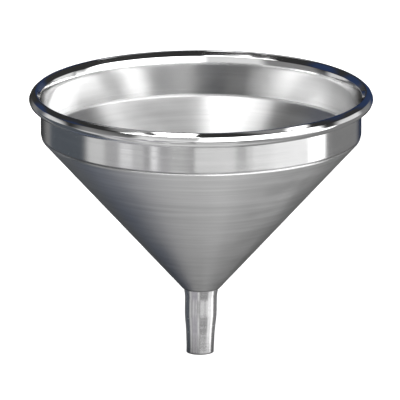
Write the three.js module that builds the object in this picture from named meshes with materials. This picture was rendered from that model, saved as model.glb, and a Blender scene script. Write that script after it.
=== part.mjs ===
// A kitchen funnel for filling jars and bottles, made of sheet aluminium. Millimetres, +Z up.
//
// Four pieces: a collar whose top edge is rolled outwards into a hollow bead, a wire hoop that
// stiffens the bead, a cone whose top edge laps inside the collar, and a drawn spout whose
// flared top sits inside the cone's lower end. Each piece is a solid of revolution about +Z.
// The origin is the centre of the spout's outlet, and the mouth opens towards +Z.

import * as THREE from 'three';

// Every piece has the same facets round the axis, so nested pieces never cross between corners.
const SEGMENTS = 60;
const DEGREES_PER_BEND_FACET = 18;

// Sheet.
const BODY_SHEET = 0.8;
const SPOUT_SHEET = 0.7;
const FIT_GAP = 0.15;

// Collar: a plain cylinder below the rolled rim.
const COLLAR_RADIUS = 79.6;
const COLLAR_BOTTOM = 112.1;

// Rolled rim: the wall flares in two steps, levels at a narrow flat crest and slopes down to
// the nose.
const RIM_RADIUS = 85.5;
const CREST_HEIGHT = 133.4;
const BEAD_BOTTOM = 125.3;
const ROLL_GAP = 0.35;
const CREST_WIDTH = 0.7;
const RIM_FLARE_HEIGHT = 4.9;
const RIM_FLARE_REACH = 2.7;

// Wire hoop inside the bead.
const WIRE_RADIUS = 1.8;
const HOOP_RADIUS = 82;
const HOOP_HEIGHT = 129.1;

// Cone. Its outer surface would meet the collar's outer surface at CORNER_HEIGHT.
const CONE_HALF_ANGLE = THREE.MathUtils.degToRad(42);
const CORNER_HEIGHT = 110.95;
const CONE_BOTTOM = 33.4;
const LAP_TOP = 114.2;
const SHOULDER_BEND = 0.6;
const JOGGLE_BEND = 0.8;

// Spout: it widens a little at the neck under the cone, and is drawn down to a narrower tip.
const SPOUT_RADIUS = 7.93;
const WAIST_RADIUS = 7.14;
const TIP_RADIUS = 6.8;
const TAPER_TOP = 19.3;
const WAIST_HEIGHT = 11.1;
const TIP_STRAIGHT = 3;
const DRAWN_BEND = 40;
const NECK_HEIGHT = 28.6;
const NECK_REACH = 0.7;
const NECK_BEND = 12;
const SPOUT_FLARE_BEND = 3.5;
const SPOUT_FLARE_TOP = 40;

// Radius of the surface that lies `depth` inside the cone's outer surface.
function coneRadius(height, depth) {
  const surface = COLLAR_RADIUS - depth / Math.cos(CONE_HALF_ANGLE);
  return surface - (CORNER_HEIGHT - height) * Math.tan(CONE_HALF_ANGLE);
}

// Height at which that same surface has the given radius.
function coneHeight(radius, depth) {
  const surface = COLLAR_RADIUS - depth / Math.cos(CONE_HALF_ANGLE);
  return CORNER_HEIGHT - (surface - radius) / Math.tan(CONE_HALF_ANGLE);
}

// Arc of the given bend radius that replaces a corner between two straight runs.
function bendPoints(before, corner, after, bend) {
  const back = before.clone().sub(corner).normalize();
  const on = after.clone().sub(corner).normalize();
  const halfAngle = Math.acos(back.dot(on)) / 2;
  const centreDistance = bend / Math.sin(halfAngle);
  const centre = corner.clone().addScaledVector(back.clone().add(on).normalize(), centreDistance);
  const start = corner.clone().addScaledVector(back, bend / Math.tan(halfAngle));
  const turn = (Math.PI - 2 * halfAngle) * -Math.sign(back.cross(on));
  const steps = Math.max(1, Math.round(Math.abs(THREE.MathUtils.radToDeg(turn)) / DEGREES_PER_BEND_FACET));
  const points = [];
  for (let step = 0; step <= steps; step += 1) {
    points.push(start.clone().rotateAround(centre, (turn * step) / steps));
  }
  return points;
}

// Middle line of a bent sheet, from corners given as [radius, height] or [radius, height, bend].
function middleLine(corners) {
  const places = corners.map(([radius, height]) => new THREE.Vector2(radius, height));
  return corners.flatMap(([, , bend], index) => {
    if (bend === undefined) {
      return [places[index]];
    }
    return bendPoints(places[index - 1], places[index], places[index + 1], bend);
  });
}

// The line moved sideways, to the right of its direction where distance is positive.
function offsetLine(line, distance) {
  const rightOf = (from, to) => new THREE.Vector2(to.y - from.y, from.x - to.x).normalize();
  return line.map((point, index) => {
    const into = index > 0 ? rightOf(line[index - 1], point) : rightOf(point, line[1]);
    const out = index < line.length - 1 ? rightOf(point, line[index + 1]) : into;
    const middle = into.clone().add(out).normalize();
    return point.clone().addScaledVector(middle, distance / middle.dot(into));
  });
}

// A sheet of even thickness along the middle line, turned about +Z. Corners run bottom to top.
function turnedSheet(name, corners, thickness, material) {
  const line = middleLine(corners);
  const outer = offsetLine(line, thickness / 2);
  const inner = offsetLine(line, -thickness / 2).reverse();
  const outline = [...outer, ...inner, outer[0].clone()];
  const mesh = new THREE.Mesh(new THREE.LatheGeometry(outline, SEGMENTS), material);
  mesh.name = name;
  mesh.rotation.x = Math.PI / 2;
  return mesh;
}

function aluminium(colour, roughness) {
  return new THREE.MeshStandardMaterial({ color: colour, roughness, metalness: 1 });
}

// The wall flares to a narrow flat crest, slopes down to the nose, and curls back under to stop
// just short of the wall, so the hollow inside the bead stays open.
function collar() {
  const half = BODY_SHEET / 2;
  const wall = COLLAR_RADIUS - half;
  const crest = CREST_HEIGHT - half;
  const nose = RIM_RADIUS - half;
  const underside = BEAD_BOTTOM + half;
  const flareBend = 10;
  const crestBend = 0.4;
  const rimBend = 1.2;
  const cheekBend = 1.6;
  const undersideBend = 5;
  const corners = [
    [wall, COLLAR_BOTTOM],
    [wall, crest - RIM_FLARE_HEIGHT, flareBend],
    [wall + 0.9, crest - 2.1, rimBend],
    [wall + RIM_FLARE_REACH, crest, crestBend],
    [wall + RIM_FLARE_REACH + CREST_WIDTH, crest, crestBend],
    [nose - 0.9, crest - 1.4, rimBend],
    [nose, crest - 3.5, rimBend],
    [nose - 0.7, underside + 2.2, cheekBend],
    [nose - 2.7, underside + 0.5, undersideBend],
    [COLLAR_RADIUS + ROLL_GAP, underside],
  ];
  return turnedSheet('collar', corners, BODY_SHEET, aluminium(0xd2d4d6, 0.22));
}

function rimWire() {
  const sides = 10;
  const hoop = new THREE.TorusGeometry(HOOP_RADIUS, WIRE_RADIUS, sides, SEGMENTS);
  const mesh = new THREE.Mesh(hoop, aluminium(0x9a9c9e, 0.5));
  mesh.name = 'rim_wire';
  mesh.position.z = HOOP_HEIGHT;
  return mesh;
}

// The cone ends at the top in a shoulder, steps inwards at 45 degrees, and rises as a short
// flange that laps inside the collar's lower edge.
function cone() {
  const half = BODY_SHEET / 2;
  const flange = COLLAR_RADIUS - BODY_SHEET - FIT_GAP - half;
  const shoulder = coneRadius(CORNER_HEIGHT, half);
  const corners = [
    [coneRadius(CONE_BOTTOM, half), CONE_BOTTOM],
    [shoulder, CORNER_HEIGHT, SHOULDER_BEND],
    [flange, CORNER_HEIGHT + shoulder - flange, JOGGLE_BEND],
    [flange, LAP_TOP],
  ];
  return turnedSheet('cone', corners, BODY_SHEET, aluminium(0xa9abad, 0.42));
}

// The flared top lies against the inside of the cone, so the spout cannot fall out.
function spout() {
  const half = SPOUT_SHEET / 2;
  const flareDepth = BODY_SHEET + FIT_GAP + half;
  const tube = SPOUT_RADIUS - half;
  const neck = tube + NECK_REACH;
  const waist = WAIST_RADIUS - half;
  const tip = TIP_RADIUS - half;
  const corners = [
    [tip, 0],
    [tip, TIP_STRAIGHT, DRAWN_BEND],
    [waist, WAIST_HEIGHT, DRAWN_BEND],
    [tube, TAPER_TOP, DRAWN_BEND],
    [tube, NECK_HEIGHT, NECK_BEND],
    [neck, coneHeight(neck, flareDepth), SPOUT_FLARE_BEND],
    [coneRadius(SPOUT_FLARE_TOP, flareDepth), SPOUT_FLARE_TOP],
  ];
  return turnedSheet('spout', corners, SPOUT_SHEET, aluminium(0xc4c5c9, 0.28));
}

const funnel = new THREE.Group();
funnel.name = 'funnel';
funnel.add(collar(), rimWire(), cone(), spout());

export default funnel;
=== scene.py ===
"""The looks of a sheet-aluminium filling funnel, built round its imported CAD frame. Metres, +Z up.

The four pieces are turned again here as fine, slightly uneven sheet: the collar with its rolled
rim, the wire inside the rim, the satin cone and the drawn spout. The light comes from a studio
that turns with the camera, so the funnel is lit the same way from every side.
"""

import math

import bpy
import numpy as np
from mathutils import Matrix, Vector, noise


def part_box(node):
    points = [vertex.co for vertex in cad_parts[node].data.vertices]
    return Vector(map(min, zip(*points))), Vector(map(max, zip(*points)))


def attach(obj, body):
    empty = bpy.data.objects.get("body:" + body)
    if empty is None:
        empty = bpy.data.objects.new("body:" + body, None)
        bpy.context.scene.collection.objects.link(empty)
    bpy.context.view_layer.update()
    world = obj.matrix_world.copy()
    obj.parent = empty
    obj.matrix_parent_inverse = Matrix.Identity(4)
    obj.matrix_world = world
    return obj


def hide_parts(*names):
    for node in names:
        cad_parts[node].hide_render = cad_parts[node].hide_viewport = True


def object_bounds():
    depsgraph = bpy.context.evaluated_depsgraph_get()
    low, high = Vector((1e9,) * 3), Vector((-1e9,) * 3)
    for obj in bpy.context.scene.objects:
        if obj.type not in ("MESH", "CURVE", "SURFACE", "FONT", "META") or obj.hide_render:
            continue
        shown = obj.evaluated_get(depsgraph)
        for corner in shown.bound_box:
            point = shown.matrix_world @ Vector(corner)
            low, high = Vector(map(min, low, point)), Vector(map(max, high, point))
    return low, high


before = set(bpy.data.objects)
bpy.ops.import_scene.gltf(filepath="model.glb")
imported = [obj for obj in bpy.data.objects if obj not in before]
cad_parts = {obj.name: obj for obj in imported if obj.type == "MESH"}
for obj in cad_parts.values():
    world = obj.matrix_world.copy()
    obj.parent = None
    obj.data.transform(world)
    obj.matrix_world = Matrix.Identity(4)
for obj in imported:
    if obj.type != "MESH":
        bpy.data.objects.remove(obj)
cad_low, cad_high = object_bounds()

MM = 0.001

# Sizes read from the frame.
collar_low, collar_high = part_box("collar")
cone_low, cone_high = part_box("cone")
spout_low, spout_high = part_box("spout")
wire_low, wire_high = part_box("rim_wire")
RIM_RADIUS = collar_high.x
CREST_HEIGHT = collar_high.z
COLLAR_BOTTOM = collar_low.z
LAP_TOP = cone_high.z
OUTLET = spout_low.z

# Sheet sizes.
BODY_SHEET = 0.8 * MM
SPOUT_SHEET = 0.7 * MM
THINNED_SHEET = 0.5 * MM
FIT_GAP = 0.15 * MM
COLLAR_EDGE = 0.25 * MM
SPOUT_EDGE = 0.22 * MM

# Wire, collar and cone. The collar's and the cone's outer surfaces would meet at CORNER_HEIGHT.
WIRE_RADIUS = 1.8 * MM
COLLAR_RADIUS = RIM_RADIUS - 5.9 * MM
CORNER_HEIGHT = COLLAR_BOTTOM - 1.15 * MM
CONE_HALF_ANGLE = math.radians(42)
CONE_BOTTOM = cone_low.z + 0.27 * MM

# Rolled rim.
BEAD_DEPTH = 8.1 * MM
ROLL_GAP = 0.35 * MM
CREST_WIDTH = 0.7 * MM
RIM_FLARE_HEIGHT = 4.9 * MM
RIM_FLARE_REACH = 2.7 * MM

# Cone's lower end, where rings are pressed in to grip the spout.
RINGED_LENGTH = 6 * MM
RING_SPACING = 1.5 * MM
RING_DEPTH = 0.13 * MM
RING_COUNT = 3

# Spout.
SPOUT_RADIUS = 7.93 * MM
WAIST_RADIUS = 7.14 * MM
TIP_RADIUS = 6.8 * MM
TIP_STRAIGHT = 3 * MM
WAIST_HEIGHT = 11.1 * MM
TAPER_TOP = 19.3 * MM
NECK_HEIGHT = 28.6 * MM
NECK_REACH = 0.7 * MM
DRAWN_BEND = 40 * MM
FLARE_TOP = spout_high.z - 0.23 * MM
TIP_LEAN = 0.5 * MM

# Meshing.
AROUND = 256
WIRE_SIDES = 24
BEND_STEP = math.radians(6)
SHARP_ANGLE = math.radians(35)


# ---------------------------------------------------------------- outlines

def unit(vector):
    return vector / np.linalg.norm(vector)


def bend_points(before, corner, after, bend):
    """The arc of radius bend that replaces a corner between two straight runs."""
    back, on = unit(before - corner), unit(after - corner)
    half_angle = math.acos(float(back @ on)) / 2
    centre = corner + unit(back + on) * bend / math.sin(half_angle)
    start = corner + back * bend / math.tan(half_angle)
    turn = (math.pi - 2 * half_angle) * -np.sign(back[0] * on[1] - back[1] * on[0])
    steps = max(2, round(abs(turn) / BEND_STEP))
    points = []
    for step in range(steps + 1):
        angle = turn * step / steps
        spin = np.array([[math.cos(angle), -math.sin(angle)], [math.sin(angle), math.cos(angle)]])
        points.append(centre + spin @ (start - centre))
    return points


def middle_line(corners):
    """Corners are (radius, height) or (radius, height, bend)."""
    places = [np.array(corner[:2]) for corner in corners]
    line = []
    for index, corner in enumerate(corners):
        if len(corner) == 2:
            line.append(places[index])
        else:
            line += bend_points(places[index - 1], places[index], places[index + 1], corner[2])
    return line


def offset_line(line, distance):
    """The line moved sideways, to the right of its direction where distance is positive."""
    moved = []
    for index, point in enumerate(line):
        into = unit(point - line[index - 1]) if index else unit(line[1] - point)
        out = unit(line[index + 1] - point) if index < len(line) - 1 else into
        into_right = np.array([into[1], -into[0]])
        middle = unit(into_right + np.array([out[1], -out[0]]))
        moved.append(point + middle * distance / (middle @ into_right))
    return moved


def sheet_outline(corners, thickness, edge):
    """A closed outline round a bent sheet, with its two raw edges rounded to radius edge."""
    line = middle_line(corners)
    sides = offset_line(line, thickness / 2), offset_line(line, -thickness / 2)[::-1]
    outline = []
    for side, opposite in (sides, sides[::-1]):
        outline += bend_points(opposite[-1], side[0], side[1], edge)
        outline += side[1:-1]
        outline += bend_points(side[-2], side[-1], opposite[0], edge)
    return outline


def even_out(outline, spacing, fine_below=0.0, fine_spacing=0.4 * MM):
    """Adds points so that no run of the closed outline is longer than the spacing."""
    points = []
    for here, there in zip(outline, outline[1:] + outline[:1]):
        low = max(here[1], there[1]) <= fine_below
        pieces = max(1, math.ceil(np.linalg.norm(there - here) / (fine_spacing if low else spacing)))
        points += [here + (there - here) * step / pieces for step in range(pieces)]
    return points


# ---------------------------------------------------------------- turned pieces

def hand_wobble(angle, height):
    """How far spun sheet strays from round, in metres: slow waves and a few shallow flats."""
    across = Vector((math.cos(angle), math.sin(angle), 0))
    slow = noise.noise(across * 2.1 + Vector((0, 0, height * 14)))
    flats = noise.noise(across * 7.3 + Vector((3.1, 1.7, height * 30)))
    return (0.09 * slow + 0.035 * flats) * MM


def turned_piece(name, outline, material, body_node):
    """A closed outline turned about +Z, riding on the funnel's one body in place of a CAD node."""
    angles = [2 * math.pi * step / AROUND for step in range(AROUND)]
    reach = RIM_RADIUS * 0.5
    vertices = []
    for angle in angles:
        for radius, height in outline:
            share = min(1.0, radius / reach)
            r = radius + share * hand_wobble(angle, height)
            vertices.append((r * math.cos(angle), r * math.sin(angle), height))
    count = len(outline)
    faces = []
    for ring in range(AROUND):
        here, there = ring * count, (ring + 1) % AROUND * count
        for index in range(count):
            after = (index + 1) % count
            faces.append((here + index, there + index, there + after, here + after))
    mesh = bpy.data.meshes.new(name)
    mesh.from_pydata(vertices, [], faces)
    mesh.materials.append(material)
    mesh.shade_smooth()
    mesh.set_sharp_from_angle(angle=SHARP_ANGLE)
    piece = bpy.data.objects.new(name, mesh)
    bpy.context.scene.collection.objects.link(piece)
    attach(piece, "root")
    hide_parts(body_node)
    return piece


def cone_radius(height, depth):
    """Radius of the surface that lies depth inside the cone's outer surface."""
    surface = COLLAR_RADIUS - depth / math.cos(CONE_HALF_ANGLE)
    return surface - (CORNER_HEIGHT - height) * math.tan(CONE_HALF_ANGLE)


def cone_height(radius, depth):
    surface = COLLAR_RADIUS - depth / math.cos(CONE_HALF_ANGLE)
    return CORNER_HEIGHT - (surface - radius) / math.tan(CONE_HALF_ANGLE)


def build_collar(material):
    """The wall flares to a narrow flat crest, slopes to the nose and curls back underneath."""
    half = BODY_SHEET / 2
    wall = COLLAR_RADIUS - half
    crest = CREST_HEIGHT - half
    nose = RIM_RADIUS - half
    underside = CREST_HEIGHT - BEAD_DEPTH + half
    flare_bend = 10 * MM
    crest_bend = 0.4 * MM
    rim_bend = 1.2 * MM
    cheek_bend = 1.6 * MM
    underside_bend = 5 * MM
    corners = [
        (wall, COLLAR_BOTTOM),
        (wall, crest - RIM_FLARE_HEIGHT, flare_bend),
        (wall + 0.9 * MM, crest - 2.1 * MM, rim_bend),
        (wall + RIM_FLARE_REACH, crest, crest_bend),
        (wall + RIM_FLARE_REACH + CREST_WIDTH, crest, crest_bend),
        (nose - 0.9 * MM, crest - 1.4 * MM, rim_bend),
        (nose, crest - 3.5 * MM, rim_bend),
        (nose - 0.7 * MM, crest - 5.1 * MM, cheek_bend),
        (nose - 2.7 * MM, underside + 0.5 * MM, underside_bend),
        (COLLAR_RADIUS + ROLL_GAP, underside),
    ]
    outline = even_out(sheet_outline(corners, BODY_SHEET, COLLAR_EDGE), 1.2 * MM)
    return turned_piece("collar_with_rolled_rim", outline, material, "collar")


def build_wire(material):
    hoop = wire_high.x - WIRE_RADIUS
    height = (wire_low.z + wire_high.z) / 2
    outline = []
    for side in range(WIRE_SIDES):
        angle = 2 * math.pi * side / WIRE_SIDES
        around = np.array([math.cos(angle), math.sin(angle)])
        outline.append(np.array([hoop, height]) + WIRE_RADIUS * around)
    return turned_piece("rim_wire_hoop", outline, material, "rim_wire")


def swage_rings(outline, top):
    """Faint rings pressed into the cone's lower end, where it grips the spout's flare."""
    low = top - RING_COUNT * RING_SPACING
    pressed = []
    for radius, height in outline:
        inside = low < height < top
        dip = RING_DEPTH * math.sin(math.pi * (height - low) / RING_SPACING) ** 2 if inside else 0
        pressed.append(np.array([radius - dip, height]))
    return pressed


def build_cone(material):
    """Outside, a shoulder under the collar's edge; inside, a smooth turn up into the lap."""
    half = BODY_SHEET / 2
    shoulder_bend = 0.6 * MM
    joggle_bend = 0.8 * MM
    inside_bend = 1.6 * MM
    flange = COLLAR_RADIUS - BODY_SHEET - 0.01 * MM - half
    shoulder = cone_radius(CORNER_HEIGHT, half)
    ring_top = CONE_BOTTOM + RINGED_LENGTH
    outer_corners = [
        (cone_radius(CONE_BOTTOM, half), CONE_BOTTOM),
        (cone_radius(ring_top, half), ring_top),
        (shoulder, CORNER_HEIGHT, shoulder_bend),
        (flange, CORNER_HEIGHT + shoulder - flange, joggle_bend),
        (flange, LAP_TOP),
    ]
    outer = offset_line(middle_line(outer_corners), half)
    lap_face = COLLAR_RADIUS - BODY_SHEET - 0.03 * MM
    inner_corners = [
        outer[0] + np.array([-math.cos(CONE_HALF_ANGLE), math.sin(CONE_HALF_ANGLE)]) * BODY_SHEET,
        (cone_radius(ring_top, BODY_SHEET), ring_top),
        (lap_face, cone_height(lap_face, THINNED_SHEET), inside_bend),
        (lap_face, LAP_TOP),
    ]
    outline = outer + middle_line(inner_corners)[::-1]
    outline = even_out(outline, 2 * MM, fine_below=ring_top)
    return turned_piece("cone_body", swage_rings(outline, ring_top), material, "cone")


def build_spout(material):
    """A tube drawn down to a narrower tip, its flared top lying inside the cone."""
    half = SPOUT_SHEET / 2
    flare_depth = BODY_SHEET + FIT_GAP + half
    tube = SPOUT_RADIUS - half
    neck = tube + NECK_REACH
    neck_bend = 12 * MM
    flare_bend = 3.5 * MM
    corners = [
        (TIP_RADIUS - half, OUTLET),
        (TIP_RADIUS - half, OUTLET + TIP_STRAIGHT, DRAWN_BEND),
        (WAIST_RADIUS - half, OUTLET + WAIST_HEIGHT, DRAWN_BEND),
        (tube, OUTLET + TAPER_TOP, DRAWN_BEND),
        (tube, OUTLET + NECK_HEIGHT, neck_bend),
        (neck, cone_height(neck, flare_depth), flare_bend),
        (cone_radius(FLARE_TOP, flare_depth), FLARE_TOP),
    ]
    outline = even_out(sheet_outline(corners, SPOUT_SHEET, SPOUT_EDGE), 0.9 * MM)
    piece = turned_piece("drawn_spout", outline, material, "spout")
    for vertex in piece.data.vertices:
        vertex.co.x -= TIP_LEAN * max(0.0, 1.0 - vertex.co.z / CONE_BOTTOM)
    return piece


# ---------------------------------------------------------------- material nodes

class Nodes:
    """A small helper that adds shader nodes and joins them."""

    def __init__(self, tree):
        self.tree = tree
        tree.nodes.clear()

    def add(self, kind, inputs=None, **settings):
        node = self.tree.nodes.new(kind)
        for key, value in settings.items():
            setattr(node, key, value)
        for key, value in (inputs or {}).items():
            self.put(node.inputs[key], value)
        return node

    def put(self, socket, value):
        if isinstance(value, bpy.types.NodeSocket):
            self.tree.links.new(value, socket)
        else:
            socket.default_value = value

    def math(self, operation, *values):
        node = self.add("ShaderNodeMath", dict(enumerate(values)), operation=operation)
        return node.outputs[0]

    def smooth(self, value, low, high, start=0.0, end=1.0):
        inputs = {"Value": value, "From Min": low, "From Max": high, "To Min": start, "To Max": end}
        node = self.add("ShaderNodeMapRange", inputs, interpolation_type="SMOOTHSTEP")
        return node.outputs["Result"]

    def linear(self, value, low, high, start, end):
        inputs = {"Value": value, "From Min": low, "From Max": high, "To Min": start, "To Max": end}
        return self.add("ShaderNodeMapRange", inputs).outputs["Result"]

    def mix(self, share, low, high):
        node = self.add("ShaderNodeMix", data_type="RGBA")
        self.put(node.inputs[0], share)
        self.put(node.inputs[6], low)
        self.put(node.inputs[7], high)
        return node.outputs[2]

    def vector(self, x, y, z):
        return self.add("ShaderNodeCombineXYZ", {"X": x, "Y": y, "Z": z}).outputs[0]

    def noise(self, vector, scale, detail=2.0, w=None):
        inputs = {"Vector": vector, "Scale": scale, "Detail": detail}
        if w is not None:
            inputs["W"] = w
        node = self.add("ShaderNodeTexNoise", inputs, noise_dimensions="3D" if w is None else "4D")
        return node.outputs[0]


def grey(level, tint=(1.0, 1.0, 1.0)):
    return tuple(level * part for part in tint) + (1.0,)


def spun_aluminium(
    name, colour, roughness, anisotropy, ring_depth, streaks, dirt_and_shade_lines=(), painted_bottom_shade=None, polish=None,
):
    """Bare aluminium with turning rings round the axis, haze, fine scratches, and dark lines of dirt
    and painted crease shade.

    streaks is how much the rings vary in shade, and ring_depth how deep they are in metres.
    marks are (height, spread, darkness) of dark lines at joints and edges: dirt with painted shade
    in the creases; fade is (low, high, shade at low), a slow painted shade towards the bottom;
    polish is (height, roughness share, gain) above it.
    """
    material = bpy.data.materials.new(name)
    material.use_nodes = True
    nodes = Nodes(material.node_tree)
    place = nodes.add("ShaderNodeTexCoord").outputs["Object"]
    split = nodes.add("ShaderNodeSeparateXYZ", {0: place}).outputs
    x, y, z = split["X"], split["Y"], split["Z"]
    squares = nodes.math("MULTIPLY", x, x), nodes.math("MULTIPLY", y, y)
    radius = nodes.math("SQRT", nodes.math("ADD", *squares))
    east, north = nodes.math("DIVIDE", x, radius), nodes.math("DIVIDE", y, radius)

    def rings(along, per_metre, detail):
        """Noise that changes along the outline but hardly round it."""
        vector = nodes.vector(
            nodes.math("MULTIPLY", east, along),
            nodes.math("MULTIPLY", north, along),
            nodes.math("MULTIPLY", z, per_metre),
        )
        return nodes.noise(vector, 1.0, detail, w=nodes.math("MULTIPLY", radius, per_metre))

    fine = rings(0.6, 2600, 2.0)
    broad = rings(1.1, 420, 3.0)
    haze = nodes.noise(place, 55, 4.0)
    patches = nodes.noise(place, 16, 2.0)
    scratch_place = nodes.add("ShaderNodeMapping", {
        "Vector": place,
        "Rotation": (0.5, 0.9, 0.3),
        "Scale": (40, 900, 900),
    }).outputs[0]
    scratches = nodes.smooth(nodes.noise(scratch_place, 1.0, 1.0), 0.72, 0.8)

    shade = nodes.linear(broad, 0.3, 0.7, 1.0 - streaks, 1.0 + streaks * 0.5)
    shade = nodes.math("MULTIPLY", shade, nodes.linear(haze, 0.3, 0.7, 0.96, 1.02))
    shade = nodes.math("MULTIPLY", shade, nodes.linear(patches, 0.35, 0.65, 0.97, 1.02))
    rough = nodes.linear(fine, 0.3, 0.7, roughness - 0.04, roughness + 0.05)
    rough = nodes.math("ADD", rough, nodes.linear(haze, 0.3, 0.7, -0.03, 0.04))
    rough = nodes.math("ADD", rough, nodes.math("MULTIPLY", scratches, 0.12))
    facing = nodes.add("ShaderNodeVectorMath", {
        0: nodes.add("ShaderNodeNewGeometry").outputs["Normal"],
        1: nodes.vector(east, north, 0.0),
    }, operation="DOT_PRODUCT").outputs["Value"]
    outside = nodes.smooth(facing, -0.1, 0.1)
    # Dark lines at given heights on the outside: dirt at the joints and raw edges, with painted
    # shade standing in for the shadow in their creases.
    for height, spread, darkness in dirt_and_shade_lines:
        away = nodes.math("ABSOLUTE", nodes.math("SUBTRACT", z, height))
        mark = nodes.smooth(away, spread, 0.0, 0.0, darkness)
        mark = nodes.math("MULTIPLY", mark, nodes.linear(haze, 0.3, 0.6, 0.6, 1.0))
        mark = nodes.math("MULTIPLY", mark, outside)
        shade = nodes.math("MULTIPLY", shade, nodes.math("SUBTRACT", 1.0, mark))
        rough = nodes.math("ADD", rough, nodes.math("MULTIPLY", mark, 0.25))

    # Painted shade: the colour darkens slowly towards the bottom, standing in for the dimmer
    # reflections low down.
    if painted_bottom_shade:
        low, high, shade_at_bottom = painted_bottom_shade
        shade = nodes.math("MULTIPLY", shade, nodes.linear(z, low, high, shade_at_bottom, 1.0))
    if polish:
        height, share, gain = polish
        above = nodes.smooth(z, height - 0.5 * MM, height + 0.5 * MM)
        rough = nodes.math("MULTIPLY", rough, nodes.linear(above, 0.0, 1.0, 1.0, share))
        shade = nodes.math("MULTIPLY", shade, nodes.linear(above, 0.0, 1.0, 1.0, gain))

    shades = nodes.vector(shade, shade, shade)
    base = nodes.add("ShaderNodeVectorMath", {0: colour[:3], 1: shades}, operation="MULTIPLY")
    relief = nodes.math("ADD", nodes.math("MULTIPLY", fine, 0.5), broad)
    relief = nodes.math("SUBTRACT", relief, nodes.math("MULTIPLY", scratches, 0.3))
    bump = nodes.add("ShaderNodeBump", {"Strength": 1.0, "Distance": ring_depth, "Height": relief})
    tangent = nodes.add("ShaderNodeTangent", direction_type="RADIAL", axis="Z")
    shader = nodes.add("ShaderNodeBsdfPrincipled", {
        "Base Color": base.outputs[0],
        "Metallic": 1.0,
        "Roughness": rough,
        "Anisotropic": anisotropy,
        "Anisotropic Rotation": 0.25,
        "Normal": bump.outputs[0],
        "Tangent": tangent.outputs[0],
    })
    nodes.add("ShaderNodeOutputMaterial", {"Surface": shader.outputs[0]})
    return material


# ---------------------------------------------------------------- studio

CAMERA_ELEVATION = math.radians(14.8)
CAMERA_LENS = 1650
SENSOR_WIDTH = 36
VIEW_WIDTH = 198.3 * MM
VIEW_CENTRE = Vector((-0.55 * MM, 0, 77.8 * MM))


def build_camera():
    """A long lens at the photograph's viewing angle, looking slightly down into the mouth."""
    camera = bpy.data.cameras.new("camera")
    camera.lens = CAMERA_LENS
    camera.sensor_width = SENSOR_WIDTH
    shot = bpy.data.objects.new("camera", camera)
    bpy.context.scene.collection.objects.link(shot)
    distance = VIEW_WIDTH * CAMERA_LENS / SENSOR_WIDTH
    back = Vector((0, -math.cos(CAMERA_ELEVATION), math.sin(CAMERA_ELEVATION)))
    shot.location = VIEW_CENTRE + back * distance
    shot.rotation_mode = "QUATERNION"
    shot.rotation_quaternion = (-back).to_track_quat("-Z", "Y")
    camera.clip_end = 100
    bpy.context.scene.camera = shot
    return shot


def build_rig(camera):
    """An empty at the origin that turns about +Z with the camera."""
    rig = bpy.data.objects.new("light_rig", None)
    bpy.context.scene.collection.objects.link(rig)
    turn = rig.constraints.new("COPY_ROTATION")
    turn.target = camera
    turn.use_x = False
    turn.use_y = False
    return rig


# Soft cards round the funnel: azimuth from the camera and elevation in degrees, both as
# (low, high, softness), then the card's colour. Later cards lie over earlier ones.
BLUE = (0.84, 0.95, 1.1)
DEEP_BLUE = (0.5, 0.85, 2.0)
PURE_BLUE = (0.0, 1.0, 4.5)
LILAC = (1.0, 0.97, 1.06)
DARK_ROOM = 0.032
CARDS = [
    # behind: a dark room with bluish stretches, a little lighter high up
    ((130, 200, 10), (-14, 45, 8), grey(0.05, DEEP_BLUE)),
    ((-124, -100, 5), (24, 42, 3), grey(0.05, DEEP_BLUE)),
    ((-152, -124, 5), (6, 23, 3), grey(0.05, DEEP_BLUE)),
    ((118, 147, 4), (6, 34, 4), grey(0.035)),
    ((84, 276, 10), (58, 78, 4), grey(0.26)),
    ((-276, -84, 10), (58, 78, 4), grey(0.26)),
    # low behind: what the cone's flanks mirror
    ((-182, -134, 4), (-62, -16, 8), grey(0.05, BLUE)),
    ((-154, -126, 4), (-68, -42, 5), grey(0.12, PURE_BLUE)),
    ((128, 182, 4), (-62, -24, 8), grey(0.17)),
    # front half below the horizon: what the collar mirrors
    ((-150, 150, 14), (-75, 6, 8), grey(0.30)),
    ((-141, -92, 6), (-70, 5, 8), grey(0.10, BLUE)),
    ((-90, -73, 4), (-60, 5, 8), grey(0.60)),
    ((-73, -62, 3), (-60, 5, 8), grey(0.40)),
    ((-61, -49, 3), (-60, 5, 8), grey(0.80)),
    ((-49, -41, 2), (-60, 5, 8), grey(0.56)),
    ((-41, -5, 3), (-60, 5, 8), grey(0.36)),
    ((-36, -31, 1.5), (-60, 5, 8), grey(0.95)),
    ((-5, 36, 1), (-60, 5, 8), grey(0.78)),
    ((26, 33, 2), (-40, 5, 8), grey(0.52)),
    ((36, 84, 3), (-36, 5, 8), grey(0.95)),
    ((84, 102, 2), (-30, 8, 8), grey(1.8)),
    ((104, 150, 8), (-60, 5, 8), grey(0.22)),
    # lower still: what the spout's taper mirrors
    ((-72, -24, 4), (-46, -18, 2), grey(0.38, LILAC)),
    ((-24, -8, 3), (-46, -18, 2), grey(0.80)),
    ((-8, 54, 6), (-46, -18, 2), grey(0.20)),
    # straight down: what the cone mirrors
    ((-181, 181, 1), (-91, -66, 14), grey(0.82)),
    # in front above the horizon: a low white band, dimmer on the left
    ((-92, -40, 8), (-2, 26, 8), grey(0.25)),
    ((-46, 4, 5), (2, 36, 3), grey(0.8)),
    ((0, 88, 6), (2, 40, 4), grey(3.6)),
    # high patches, mirrored by the inside of the mouth and the rim's edges
    ((-46, -2, 3), (30, 41, 2), grey(0.5)),
    ((-52, -3, 4), (47, 59.5, 2), grey(8.0)),
    ((-68, -50, 3), (44, 53, 2), grey(7.0)),
    ((-88, -74, 3), (62, 68, 2), grey(3.5)),
    ((-94, -18, 6), (74, 86, 2), grey(6.0)),
    ((98, 118, 3), (51, 59, 2), grey(2.0)),
    ((-175, -132, 6), (50, 60, 3), grey(1.2)),
    ((-128, -104, 5), (0, 14, 3), grey(0.7)),
    ((104, 132, 5), (0, 16, 4), grey(0.8)),
]


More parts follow.
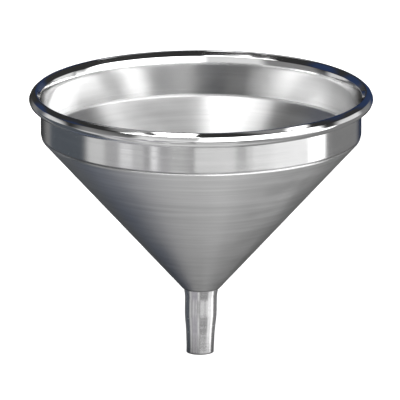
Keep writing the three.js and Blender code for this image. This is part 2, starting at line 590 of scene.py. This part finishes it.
def build_world(rig):
    """White for the camera; a dark studio with soft cards for everything the metal mirrors."""
    world = bpy.data.worlds.new("studio")
    bpy.context.scene.world = world
    world.use_nodes = True
    nodes = Nodes(world.node_tree)
    direction = nodes.add("ShaderNodeTexCoord", object=rig).outputs["Object"]
    split = nodes.add("ShaderNodeSeparateXYZ", {0: direction}).outputs
    azimuth = nodes.math("ARCTAN2", split["X"], nodes.math("MULTIPLY", split["Y"], -1.0))
    azimuth = nodes.math("DEGREES", azimuth)
    elevation = nodes.math("DEGREES", nodes.math("ARCSINE", split["Z"]))

    def within(value, span):
        low, high, soft = span
        rise = nodes.smooth(value, low - soft, low + soft)
        fall = nodes.smooth(value, high - soft, high + soft, 1.0, 0.0)
        return nodes.math("MULTIPLY", rise, fall)

    light = grey(DARK_ROOM)
    for across, upright, colour in CARDS:
        mask = nodes.math("MULTIPLY", within(azimuth, across), within(elevation, upright))
        light = nodes.mix(mask, light, colour)
    seen = nodes.add("ShaderNodeBackground", {"Color": grey(1.0), "Strength": 1.0})
    mirrored = nodes.add("ShaderNodeBackground", {"Color": light, "Strength": 1.0})
    path = nodes.add("ShaderNodeLightPath").outputs["Is Camera Ray"]
    both = nodes.add("ShaderNodeMixShader", {0: path, 1: mirrored.outputs[0], 2: seen.outputs[0]})
    nodes.add("ShaderNodeOutputWorld", {"Surface": both.outputs[0]})


def build_floor():
    """A plain pale floor that the metal doesn't mirror: the cards stand in for it."""
    reach = 3.0
    mesh = bpy.data.meshes.new("floor")
    corners = [(-reach, -reach, 0), (reach, -reach, 0), (reach, reach, 0), (-reach, reach, 0)]
    mesh.from_pydata(corners, [], [(0, 1, 2, 3)])
    floor = bpy.data.objects.new("floor", mesh)
    bpy.context.scene.collection.objects.link(floor)
    floor.location.z = cad_low.z - 0.2 * MM
    floor.visible_glossy = False
    material = bpy.data.materials.new("pale_floor")
    material.use_nodes = True
    nodes = Nodes(material.node_tree)
    paint = nodes.add("ShaderNodeBsdfDiffuse", {"Color": grey(0.85)})
    lift = nodes.add("ShaderNodeEmission", {"Color": grey(1.0), "Strength": 0.75})
    both = nodes.add("ShaderNodeAddShader", {0: paint.outputs[0], 1: lift.outputs[0]})
    nodes.add("ShaderNodeOutputMaterial", {"Surface": both.outputs[0]})
    mesh.materials.append(material)


# ---------------------------------------------------------------- build

collar_metal = spun_aluminium(
    "collar_bright_aluminium", grey(0.87),
    roughness=0.15, anisotropy=0.75, ring_depth=0.004 * MM, streaks=0.05,
    # dark line at the collar's lower edge: dirt with painted crease shade
    dirt_and_shade_lines=((COLLAR_BOTTOM, 0.6 * MM, 0.5),),
    polish=(CREST_HEIGHT - 5 * MM, 0.5, 1.0),
)
cone_metal = spun_aluminium(
    "cone_satin_aluminium", grey(0.72),
    roughness=0.38, anisotropy=0.85, ring_depth=0.012 * MM, streaks=0.12,
    # dark lines at the seam under the collar and at the cone's lower end: dirt with painted crease
    # shade
    dirt_and_shade_lines=((CORNER_HEIGHT + 0.9 * MM, 0.6 * MM, 0.5), (CONE_BOTTOM, 0.8 * MM, 0.5)),
    # painted shade: the cone's colour darkens towards the bottom
    painted_bottom_shade=(CONE_BOTTOM, CORNER_HEIGHT - 5 * MM, 0.55),
    polish=(CORNER_HEIGHT + 1 * MM, 0.4, 1.2),
)
spout_metal = spun_aluminium(
    "spout_bright_aluminium", grey(0.84, (1.0, 0.995, 1.0)),
    roughness=0.22, anisotropy=0.8, ring_depth=0.004 * MM, streaks=0.06,
    # dark lines where the spout leaves the cone and at its tip: dirt with painted shade
    dirt_and_shade_lines=((CONE_BOTTOM - 0.3 * MM, 0.9 * MM, 0.6), (OUTLET, 1.2 * MM, 0.8)),
    # painted shade: the spout's colour darkens towards the tip
    painted_bottom_shade=(OUTLET, OUTLET + 12 * MM, 0.55),
)
wire_metal = spun_aluminium(
    "wire_drawn_aluminium", grey(0.6),
    roughness=0.5, anisotropy=0.3, ring_depth=0.004 * MM, streaks=0.1,
)

build_collar(collar_metal)
build_cone(cone_metal)
build_spout(spout_metal)
build_wire(wire_metal)

shot = build_camera()
build_world(build_rig(shot))
build_floor()
bpy.context.scene.view_settings.view_transform = "Standard"
